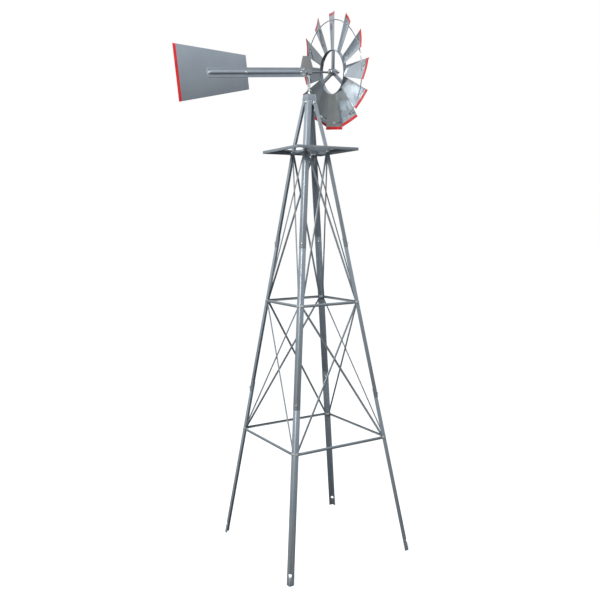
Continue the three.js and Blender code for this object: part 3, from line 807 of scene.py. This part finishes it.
# %% Bush, washer and post
BUSH_BORE, BUSH_SHANK, BUSH_SEAT = 4.8 * MM, 6.2 * MM, 7.4 * MM
HEX_BASE = 2.085
edge = 0.4 * MM
bush_low, bush_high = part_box("swivel_bush")
seat_low = cap_high.z + GAP
seat_high = seat_low + 3 * MM
bush = turned_part("swivel_stub", [
    (BUSH_BORE, bush_low.z), (BUSH_SHANK, bush_low.z), (BUSH_SHANK, seat_low),
    (BUSH_SEAT, seat_low), (BUSH_SEAT, seat_high - edge), (BUSH_SEAT - edge, seat_high),
    (BUSH_SHANK, seat_high), (BUSH_SHANK, HEX_BASE), (BUSH_BORE, HEX_BASE)])
place(bush, AXIS)
settle(bush, "tower", "bright_zinc", bolt_zinc, "swivel_bush")

bush_nut = hexagon("swivel_nut", 13.8 * MM, bush_high.z - HEX_BASE, HEX_BASE)
fresh_start()
bpy.ops.mesh.primitive_cylinder_add(vertices=48, radius=BUSH_BORE, depth=0.1,
                                    location=(0, 0, HEX_BASE))
drill(bush_nut, made("reamer"))
place(bush_nut, AXIS)
# The nut takes the darker bar finish instead of bright zinc. This is painted shade for the shadow
# that falls on it under the washer.
settle(bush_nut, "tower", "bright_zinc", bar_zinc)

washer_low, washer_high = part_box("thrust_washer")
WASHER_RADIUS = 10.4 * MM
washer = turned_part("swivel_washer", [
    (BUSH_BORE, washer_low.z), (WASHER_RADIUS - edge, washer_low.z),
    (WASHER_RADIUS, washer_low.z + edge), (WASHER_RADIUS, washer_high.z - edge),
    (WASHER_RADIUS - edge, washer_high.z), (BUSH_BORE, washer_high.z)])
place(washer, AXIS)
settle(washer, "tower", "bright_zinc", cream_zinc, "thrust_washer")

POST_RADIUS, COLLAR_RADIUS = 4.2 * MM, 8.6 * MM
BLOCK = 20 * MM
post_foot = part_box("head_bracket")[0].z
shoulder = washer_high.z + GAP
collar_top = shoulder + 4.6 * MM
post_top = AXLE_Z - BLOCK / 2 + 2 * MM
post = turned_part("swivel_post", [
    (0, post_foot), (POST_RADIUS - edge, post_foot), (POST_RADIUS, post_foot + edge),
    (POST_RADIUS, shoulder), (COLLAR_RADIUS - edge, shoulder), (COLLAR_RADIUS, shoulder + edge),
    (COLLAR_RADIUS, collar_top - edge), (COLLAR_RADIUS - edge, collar_top),
    (POST_RADIUS, collar_top), (POST_RADIUS, post_top), (0, post_top)])
place(post, AXIS)
settle(post, "head", "bar_steel", brace_zinc, "head_bracket")
print("swivel from", round(bush_low.z, 3), "to", round(post_top, 3), "m")

# %% [markdown]
# ## The head
# A block on the post holds the axle between two nuts. The fin plate above it is welded to the
# block, and the boom's two halves are bolted to the fin's tail end. A lathe lies along +Z, so a
# turned piece on the axle is tipped to lie along the head's own X.

# %% Block, fin and axle
ALONG_AXLE = HEAD @ Matrix.Rotation(math.pi / 2, 4, "Y")
AXLE_RADIUS = 4.5 * MM

fresh_start()
bpy.ops.mesh.primitive_cube_add(size=BLOCK)
block = made("axle_block")
fresh_start()
bpy.ops.mesh.primitive_cylinder_add(vertices=40, radius=AXLE_RADIUS + GAP, depth=BLOCK * 2,
                                    rotation=(0, math.pi / 2, 0))
drill(block, made("reamer"))
soften(block, 1.0 * MM, 3)
place(block, HEAD)
settle(block, "head", "bar_steel", brace_zinc)


# The fin's corners, in the head's frame: X forward, and up from the axle.
FIN_REAR, FIN_FRONT, FIN_TOP_X, FIN_TOP_WIDE = -45 * MM, 24 * MM, -7.5 * MM, 37 * MM
FIN_LOW, FIN_SHOULDER, FIN_RISE = 9.5 * MM, 14 * MM, 56 * MM
TONGUE_X, TONGUE_DROP = -21.5 * MM, 25.5 * MM


def fin_plate():
    """A plane drawn out to a tapered top, with a narrower tongue left for the boom bolts."""
    fresh_start()
    bpy.ops.mesh.primitive_plane_add(size=1)
    fin = made("head_fin")
    wide = FIN_FRONT - FIN_REAR
    stretch(fin, (wide, FIN_SHOULDER - FIN_LOW, 1),
            ((FIN_FRONT + FIN_REAR) / 2, (FIN_SHOULDER + FIN_LOW) / 2, 0))
    pick(fin, "EDGE", lambda middle, e: abs(middle.y - FIN_SHOULDER) < 0.1 * MM)
    draw_out((0, FIN_RISE, 0))
    bpy.ops.transform.resize(value=(FIN_TOP_WIDE / wide, 1, 1), center_override=(FIN_TOP_X, 0, 0))
    pick(fin, "VERT", lambda middle, v: middle.y > FIN_RISE)
    top_middle = sum(v.co.x for v in bmesh.from_edit_mesh(fin.data).verts if v.select) / 2
    bpy.ops.transform.translate(value=(FIN_TOP_X - top_middle, 0, 0))
    slice_at(fin, (TONGUE_X, 0, 0), (1, 0, 0))
    pick(fin, "EDGE", lambda middle, e: abs(middle.y - FIN_LOW) < 0.1 * MM
         and middle.x < TONGUE_X - 0.1 * MM)
    draw_out((0, -TONGUE_DROP, 0))
    fresh_start()
    return fin


fin = fin_plate()
UPRIGHT = Matrix.Rotation(math.pi / 2, 4, "X")
thicken(fin, 1.0 * MM, 0)
soften(fin, 0.25 * MM)
place(fin, HEAD @ UPRIGHT)
settle(fin, "head", "bar_steel", fin_sheet)

HUB_REAR, HUB_FRONT = 18 * MM, 24 * MM
axle_tip = WHEEL_X + HUB_FRONT + 3 * MM
axle_tail = -21 * MM
rod = turned_part("axle_rod", [
    (0, axle_tail), (AXLE_RADIUS - edge, axle_tail), (AXLE_RADIUS, axle_tail + edge),
    (AXLE_RADIUS, axle_tip), (0, axle_tip)], 40)
place(rod, ALONG_AXLE)
settle(rod, "head", "bright_zinc", bar_zinc, "axle")

NUT_FLATS, NUT_LONG = 14.8 * MM, 8 * MM
for name, start, finish in (("axle_nut_rear", -BLOCK / 2 - GAP - NUT_LONG, brace_zinc),
                            ("axle_nut_front", BLOCK / 2 + GAP, brace_zinc),
                            ("hub_nut_rear", WHEEL_X - HUB_REAR - GAP - NUT_LONG, cream_zinc)):
    nut = hexagon(name, NUT_FLATS, NUT_LONG, start)
    place(nut, ALONG_AXLE)
    settle(nut, "head", "bright_zinc", finish)

acorn_start = WHEEL_X + HUB_FRONT + 2 * MM
acorn_outline = [(0, 0), (6.0, 0), (6.3, 0.4), (6.3, 4.4), (5.4, 6.2), (3.4, 8.2), (0, 9)]
acorn = turned_part("axle_acorn", [(r * MM, acorn_start + x * MM) for r, x in acorn_outline], 32)
place(acorn, ALONG_AXLE)
settle(acorn, "head", "bright_zinc", brace_zinc, angle=50)
print("axle from the block to", round(axle_tip, 3), "m")

# %% [markdown]
# ## Boom and vane
# The boom is two long pressings back to back: flat edges with a half-round rib, pinched flat at
# both ends where the bolts go. The rib is lifted from a grid with a round falloff, which gives a
# true half circle. The vane lies between the halves, and its outer end is painted. The paint's
# edge is a line cut in the mesh, so it stays crisp and straight.

# %% Boom halves
BOOM_REAR, BOOM_FRONT, BOOM_HIGH = 494 * MM, 22 * MM, 40 * MM
REAR_PINCH, FRONT_PINCH = 14 * MM, 34 * MM
RIB_RADIUS = 7.5 * MM
BOOM_SKIN = 1.8 * MM


def boom_pressing(name):
    """One half, lying along X with its rib up along Z."""
    fresh_start()
    length = BOOM_REAR - BOOM_FRONT
    bpy.ops.mesh.primitive_grid_add(x_subdivisions=1, y_subdivisions=40, size=1)
    half = made(name)
    stretch(half, (length, BOOM_HIGH, 1), (-(BOOM_REAR + BOOM_FRONT) / 2, 0, BOOM_SKIN))
    rib_rear, rib_front = -BOOM_REAR + REAR_PINCH, -BOOM_FRONT - FRONT_PINCH
    steps = [-10, -7.5, -5, -2.5, 0, 2.5]
    for x in [rib_rear + s * MM for s in steps] + [rib_front - s * MM for s in steps]:
        slice_at(half, (x, 0, 0), (1, 0, 0))
    pick(half, "VERT", lambda middle, v: abs(middle.y) < 0.01 * MM
         and rib_rear - 0.1 * MM < middle.x < rib_front + 0.1 * MM)
    lift(RIB_RADIUS, "SPHERE", RIB_RADIUS + 0.3 * MM)
    thicken(half, 1.0 * MM)
    soften(half, 0.25 * MM, 2, 60)
    return half


for hand, side in (("left", 1), ("right", -1)):
    half = boom_pressing(f"boom_half_{hand}")
    tip_up = Matrix.Rotation(-side * math.pi / 2, 4, "X")
    place(half, HEAD @ tip_up)
    settle(half, "head", "bar_steel", boom_zinc, f"boom_{hand}", angle=50)

# %% Tail vane
TAIL_FAR, TAIL_NEAR = 631 * MM, 308 * MM
TAIL_FAR_HALF, TAIL_NEAR_HALF = 114.6 * MM, 70.3 * MM
PAINT_BAND = 12.4 * MM


def vane_plate():
    fresh_start()
    bpy.ops.mesh.primitive_plane_add(size=1)
    vane = made("vane_plate")
    stretch(vane, (TAIL_FAR - TAIL_NEAR, 2 * TAIL_FAR_HALF, 1),
            (-(TAIL_FAR + TAIL_NEAR) / 2, 0, 0))
    pick(vane, "VERT", lambda middle, v: middle.x > -TAIL_NEAR - MM)
    bpy.ops.transform.resize(value=(1, TAIL_NEAR_HALF / TAIL_FAR_HALF, 1),
                             center_override=(-TAIL_NEAR, 0, 0))
    slice_at(vane, (-TAIL_FAR + PAINT_BAND, 0, 0), (1, 0, 0))
    vane.data.materials.append(vane_sheet)
    vane.data.materials.append(red_paint)
    for face in vane.data.polygons:  # slot 1 is the paint
        face.material_index = int(face.center.x < -TAIL_FAR + PAINT_BAND)
    thicken(vane, 1.0 * MM, 0)
    soften(vane, 0.3 * MM)
    return vane


vane = vane_plate()
place(vane, HEAD @ UPRIGHT)
settle(vane, "head", "vane_sheet", vane_sheet, "tail_vane")

# %% Bolts in the head
rib_bolt = bolt_set("rib_bolt", 2 * (BOOM_SKIN + RIB_RADIUS))
flat_bolt = bolt_set("flat_bolt", 2 * BOOM_SKIN)
for name, pattern, back, up, stand in (
        ("bolt_boom_rear", flat_bolt, 486, 0, BOOM_SKIN),
        ("bolt_boom_middle", rib_bolt, 316, 0, BOOM_SKIN + RIB_RADIUS),
        ("bolt_boom_front", flat_bolt, 41, 0, BOOM_SKIN),
        ("bolt_boom_top", flat_bolt, 29, 11.2, BOOM_SKIN),
        ("bolt_boom_bottom", flat_bolt, 29, -11.2, BOOM_SKIN)):
    seat = look_along((-back * MM, -stand, up * MM), (0, -1, 0))
    set_bolt(pattern, name, HEAD @ seat, "head")
discard(rib_bolt, flat_bolt, brace_bolt, crease_bolt)
print("vane", round(TAIL_FAR - TAIL_NEAR, 3), "m long, paint", round(PAINT_BAND, 4), "m")

# %% [markdown]
# ## The wheel
# Three bars run from the hub to a rolled hoop. Twelve flat blades stand on the hoop, each turned a
# little about its own length, and a wire ring runs through a slot near every tip and keeps them
# evenly spaced. The blade is modelled once, flat, and each copy is pitched and turned into place.

# %% Hub, spokes, hoop and ring
ALONG_WHEEL = WHEEL @ Matrix.Rotation(math.pi / 2, 4, "Y")
HUB_BORE = AXLE_RADIUS + GAP + 0.1 * MM
HUB_RADIUS, HUB_NOSE = 15.5 * MM, 7.4 * MM
HOOP_RADIUS, HOOP_SHEET, HOOP_HALF = 96.4 * MM, 1.2 * MM, 9 * MM
SPOKE_THICK, SPOKE_WIDE, SPOKE_PHASE = 7 * MM, 17 * MM, math.radians(10.5)
GROOVE_LIP, GROOVE_DEEP = 2.6 * MM, 2.2 * MM

hub = turned_part("wheel_hub", [
    (HUB_BORE, -HUB_REAR), (HUB_RADIUS - MM, -HUB_REAR), (HUB_RADIUS, -HUB_REAR + MM),
    (HUB_RADIUS, 10 * MM), (HUB_RADIUS - 0.7 * MM, 12 * MM), (8.8 * MM, HUB_FRONT - 1.2 * MM),
    (HUB_NOSE, HUB_FRONT), (HUB_BORE, HUB_FRONT)], 56)
place(hub, ALONG_WHEEL)
settle(hub, "wheel", "bar_steel", bar_zinc, "wheel_spider")

hoop = turned_part("wheel_hoop", [
    (HOOP_RADIUS - HOOP_SHEET, -HOOP_HALF), (HOOP_RADIUS, -HOOP_HALF), (HOOP_RADIUS, HOOP_HALF),
    (HOOP_RADIUS - HOOP_SHEET, HOOP_HALF)], 144)
soften(hoop, 0.3 * MM, 2, 60)
place(hoop, ALONG_WHEEL)
settle(hoop, "wheel", "bar_steel", bar_zinc, angle=40)


def spoke_bar():
    """A shallow channel, standing on +Z from the hub to the hoop, its groove to the front."""
    fresh_start()
    bpy.ops.mesh.primitive_cube_add(size=1)
    bar = made("spoke_bar")
    start, finish = 13 * MM, HOOP_RADIUS - HOOP_SHEET - 0.1 * MM
    stretch(bar, (SPOKE_THICK, SPOKE_WIDE, finish - start), (0, 0, (start + finish) / 2))
    pick(bar, "FACE", lambda middle, face: face.normal.x > 0.9)
    bpy.ops.mesh.inset(thickness=GROOVE_LIP, depth=0)
    draw_out((-GROOVE_DEEP, 0, 0))
    soften(bar, 0.5 * MM, 3)
    return bar


spoke = spoke_bar()
for i in range(3):
    bar = copy_of(spoke, f"wheel_spoke_{i + 1}")
    place(bar, WHEEL @ Matrix.Rotation(SPOKE_PHASE + i * 2 * math.pi / 3, 4, "X"))
    settle(bar, "wheel", "bar_steel", bar_zinc)
discard(spoke)

rear, front, rim, bevel = HUB_FRONT + GAP, HUB_FRONT + GAP + 1.2 * MM, 8 * MM, 0.2 * MM
hub_washer = turned_part("hub_front_washer", [
    (HUB_BORE, rear), (rim - bevel, rear), (rim, rear + bevel),
    (rim, front - bevel), (rim - bevel, front), (HUB_BORE, front)], 32)
place(hub_washer, ALONG_WHEEL)
settle(hub_washer, "wheel", "bright_zinc", bolt_zinc, "hub_washer")

WIRE_RADIUS, WIRE_THICK = 222.5 * MM, 4 * MM
fresh_start()
bpy.ops.mesh.primitive_torus_add(major_radius=WIRE_RADIUS, minor_radius=WIRE_THICK / 2,
                                 major_segments=180, minor_segments=12)
wire = made("spacer_wire")
place(wire, ALONG_WHEEL)
settle(wire, "wheel", "bright_zinc", bar_zinc, "wire_ring", angle=60)
print("hoop radius", round(HOOP_RADIUS, 4), "wire radius", round(WIRE_RADIUS, 4))

# %% One blade
TIP, ROOT = 253.7 * MM, 97 * MM
TIP_HALF, ROOT_HALF = 47.3 * MM, 25.5 * MM
PITCH = math.radians(-19.3)
PHASE = math.radians(6.67)
TIP_PAINT = 13 * MM
CAMBER, SLOT_RISE = 2.2 * MM, 0.8 * MM


def slot_punch():
    fresh_start()
    reach = (WIRE_THICK / math.sin(-PITCH) + MM / math.tan(-PITCH)) / 2 + MM
    rise = WIRE_THICK / 2 + SLOT_RISE
    bpy.ops.mesh.primitive_cylinder_add(vertices=32, radius=rise, depth=20 * MM)
    punch = made("slot_punch")
    for side in (-1, 1):
        pick(punch, "VERT", lambda middle, v: side * middle.x > 0.05 * MM)
        bpy.ops.transform.translate(value=(side * (reach - rise), 0, 0))
    fresh_start()
    punch.location = (0, WIRE_RADIUS, 0)
    return punch


def blade_blank():
    """Flat blade in XY: X across, Y outwards, with paint, a slight dish across, and its slot."""
    fresh_start()
    bpy.ops.mesh.primitive_grid_add(x_subdivisions=12, y_subdivisions=1, size=1)
    blade = made("blade_blank")
    stretch(blade, (2 * TIP_HALF, TIP - ROOT, 1), (0, (TIP + ROOT) / 2, 0))
    pick(blade, "VERT", lambda middle, v: middle.y < ROOT + MM)
    bpy.ops.transform.resize(value=(ROOT_HALF / TIP_HALF, 1, 1), center_override=(0, ROOT, 0))
    fresh_start()
    long = TIP - ROOT
    for y in (TIP - TIP_PAINT, ROOT + 0.3 * long, ROOT + 0.6 * long):
        slice_at(blade, (0, y, 0), (0, 1, 0))
    blade.data.materials.append(blade_sheet)
    blade.data.materials.append(red_paint)
    for face in blade.data.polygons:
        face.material_index = int(face.center.y > TIP - TIP_PAINT)
    pick(blade, "VERT", lambda middle, v: abs(middle.x) < 0.01 * MM
         and middle.y > ROOT + 20 * MM)
    lift(CAMBER, "SMOOTH", TIP_HALF)
    thicken(blade, 1.0 * MM, 0)
    drill(blade, slot_punch())
    soften(blade, 0.2 * MM, 1, 50)
    return blade


FOOT_UP = 4.2 * MM


def foot_tab():
    """The small foot that is riveted to the hoop."""
    fresh_start()
    bpy.ops.mesh.primitive_cube_add(size=1)
    foot = made("foot_tab")
    stretch(foot, (16 * MM, 1.0 * MM, 7.4 * MM), (0, HOOP_RADIUS + 0.9 * MM, FOOT_UP))
    pick(foot, "EDGE", lambda middle, e: abs(middle.x) > 7.9 * MM and middle.z > 7 * MM
         and abs(e.verts[0].co.y - e.verts[1].co.y) > 0.5 * MM)
    bpy.ops.mesh.bevel(offset=3 * MM, segments=5, affect="EDGES")
    soften(foot, 0.15 * MM, 1)
    return foot


# %% All the blades
RIVET_OUT = 4.6 * MM
# Stands a blade, which lies in XY, up on +Z with its face along X.
STAND = Matrix(((0, 0, 1, 0), (1, 0, 0, 0), (0, 1, 0, 0), (0, 0, 0, 1)))
blank, foot = blade_blank(), foot_tab()
rivet_outline = [(0, 1.7), (1.6, 1.4), (2.7, 0.5), (2.9, 0), (0, 0)]
rivet = turned_part("rivet", [(r * MM, z * MM) for r, z in rivet_outline], 20)
for i in range(12):
    number = f"{i + 1:02d}"
    arm = WHEEL @ Matrix.Rotation(PHASE + i * math.pi / 6, 4, "X")
    arm = arm @ Matrix.Rotation(PITCH, 4, "Z") @ STAND
    blade = copy_of(blank, f"sail_{number}")
    place(blade, arm)
    settle(blade, "wheel", "blade_sheet", blade_sheet, f"blade_{number}")
    tab = copy_of(foot, f"sail_foot_{number}")
    place(tab, arm)
    settle(tab, "wheel", "blade_sheet", blade_sheet)
    for side, hand in ((-1, "a"), (1, "b")):
        for label, y, way in (("out", HOOP_RADIUS + 1.4 * MM, 1),
                              ("in", HOOP_RADIUS - HOOP_SHEET, -1)):
            head = copy_of(rivet, f"rivet_{label}_{number}{hand}")
            place(head, arm @ look_along((side * RIVET_OUT, y, FOOT_UP), (0, way, 0)))
            settle(head, "wheel", "bright_zinc", bolt_zinc, angle=50)
discard(blank, foot, rivet)
print("wheel: 12 blades pitched", round(-math.degrees(PITCH), 1), "degrees")

# %% [markdown]
# ## Studio
# A pale floor and soft light. One warm key light stands high to the left of the camera, so the
# platform shades the legs just beneath it. The world is bright overhead and dark below, because
# zinc shows whatever is around it, and an even white room would leave it flat.

# %% Floor and world
fresh_start()
bpy.ops.mesh.primitive_plane_add(size=60, location=(AXIS_X, 0, -0.5 * MM))
floor = made("studio_floor")
WHITE = (1, 1, 1, 1)
floor_paint = bpy.data.materials.new("floor_paint")
floor_paint.use_nodes = True
floor_shader = floor_paint.node_tree.nodes["Principled BSDF"]
for label, value in (("Base Color", (0.9, 0.9, 0.9, 1)), ("Roughness", 0.9),
                     ("Emission Color", WHITE), ("Emission Strength", 0.7)):
    floor_shader.inputs[label].default_value = value
floor.data.materials.append(floor_paint)
floor.visible_glossy = False
floor.visible_diffuse = False

# The room's brightness from straight down, 0, to straight up, 1. One side is dim near the ground.
ROOM_LEVELS = [(0.0, 0.02), (0.2, 0.06), (0.33, 0.20), (0.47, 0.34),
               (0.55, 0.48), (0.61, 0.56), (0.72, 0.72), (1.0, 1.0)]
DIM_SIDE = (0.51, 0.86, 0)


def studio_world():
    """Bright overhead, dim underfoot, warm on the tail's side. The camera sees plain white."""
    world = bpy.data.worlds.new("studio")
    world.use_nodes = True
    bpy.context.scene.world = world
    tree = world.node_tree
    tree.nodes.clear()
    way = tree.nodes.new("ShaderNodeTexCoord").outputs["Generated"]
    parts = tree.nodes.new("ShaderNodeSeparateXYZ")
    tree.links.new(way, parts.inputs["Vector"])
    x, y, z = parts.outputs
    ramp = tree.nodes.new("ShaderNodeValToRGB")
    tree.links.new(spread(tree, z, 0.0, 1.0, -1.0, 1.0), ramp.inputs["Fac"])
    while len(ramp.color_ramp.elements) < len(ROOM_LEVELS):
        ramp.color_ramp.elements.new(0.5)
    for element, (at, level) in zip(ramp.color_ramp.elements, ROOM_LEVELS):
        element.position = at
        element.color = (level * 0.91, level * 0.96, level, 1)
    warm = blend_of(tree, ramp.outputs["Color"], (1.0, 0.94, 0.85, 1),
                    spread(tree, x, 1.0, 0.0, -0.95, -0.75), "MULTIPLY")
    away = tree.nodes.new("ShaderNodeVectorMath")
    away.operation = "DOT_PRODUCT"
    away.inputs[1].default_value = DIM_SIDE
    tree.links.new(way, away.inputs[0])
    behind = spread(tree, away.outputs["Value"], 0.0, 0.95, 0.85, 0.97)
    low = spread(tree, z, 1.0, 0.0, 0.05, 0.3)
    path = tree.nodes.new("ShaderNodeLightPath")
    lit = maths(tree, "SUBTRACT", 1.0, maths(tree, "MULTIPLY", behind, low))
    lit = maths(tree, "MULTIPLY", lit, spread(tree, y, 0.72, 1.3, -0.8, 0.8))
    lit = maths(tree, "MULTIPLY", lit, spread(tree, path.outputs["Is Diffuse Ray"], 1.0, 0.35))
    choose = tree.nodes.new("ShaderNodeMixShader")
    tree.links.new(path.outputs["Is Camera Ray"], choose.inputs["Fac"])
    for slot, color, strength in ((1, warm, lit), (2, WHITE, 1.0)):
        view = tree.nodes.new("ShaderNodeBackground")
        feed(tree, color, view.inputs["Color"])
        feed(tree, strength, view.inputs["Strength"])
        tree.links.new(view.outputs["Background"], choose.inputs[slot])
    out = tree.nodes.new("ShaderNodeOutputWorld")
    tree.links.new(choose.outputs["Shader"], out.inputs["Surface"])


studio_world()
bpy.context.scene.view_settings.view_transform = "Standard"

# %% Lights
KEY_AT = Vector((AXIS_X - 3.0, -2.5, 3.35))
KEY_AIM = Vector((AXIS_X, 0, 1.4))
lamp = bpy.data.lights.new("key_box", "AREA")
lamp.shape = "RECTANGLE"
lamp.size = lamp.size_y = 0.8
lamp.energy = 125
lamp.color = (1.0, 0.97, 0.92)
key = show(bpy.data.objects.new("key_box", lamp))
key.location = KEY_AT
key.rotation_mode = "QUATERNION"
key.rotation_quaternion = (KEY_AIM - KEY_AT).to_track_quat("-Z", "Y")
print("key light", lamp.energy, "W")

# %% [markdown]
# ## Camera
# It stands a little above the middle of the tower, off the tail side, and looks slightly down.

# %% Camera
def stand_camera():
    heading, pitch, roll = (math.radians(v) for v in (59.28, -6.2, 0.68))
    forward = Vector((math.cos(heading) * math.cos(pitch), math.sin(heading) * math.cos(pitch),
                      math.sin(pitch)))
    right = Vector((math.sin(heading), -math.cos(heading), 0))
    up = right.cross(forward)
    side = right * math.cos(roll) - up * math.sin(roll)
    top = right * math.sin(roll) + up * math.cos(roll)
    lens = bpy.data.cameras.new("studio_camera")
    lens.lens = 42.64
    lens.sensor_width = 36
    camera = show(bpy.data.objects.new("studio_camera", lens))
    turn = Matrix((side, top, -forward)).transposed().to_4x4()
    camera.matrix_world = Matrix.Translation((AXIS_X - 1.706, -2.768, 1.508)) @ turn
    bpy.context.scene.camera = camera


stand_camera()

fresh_start()
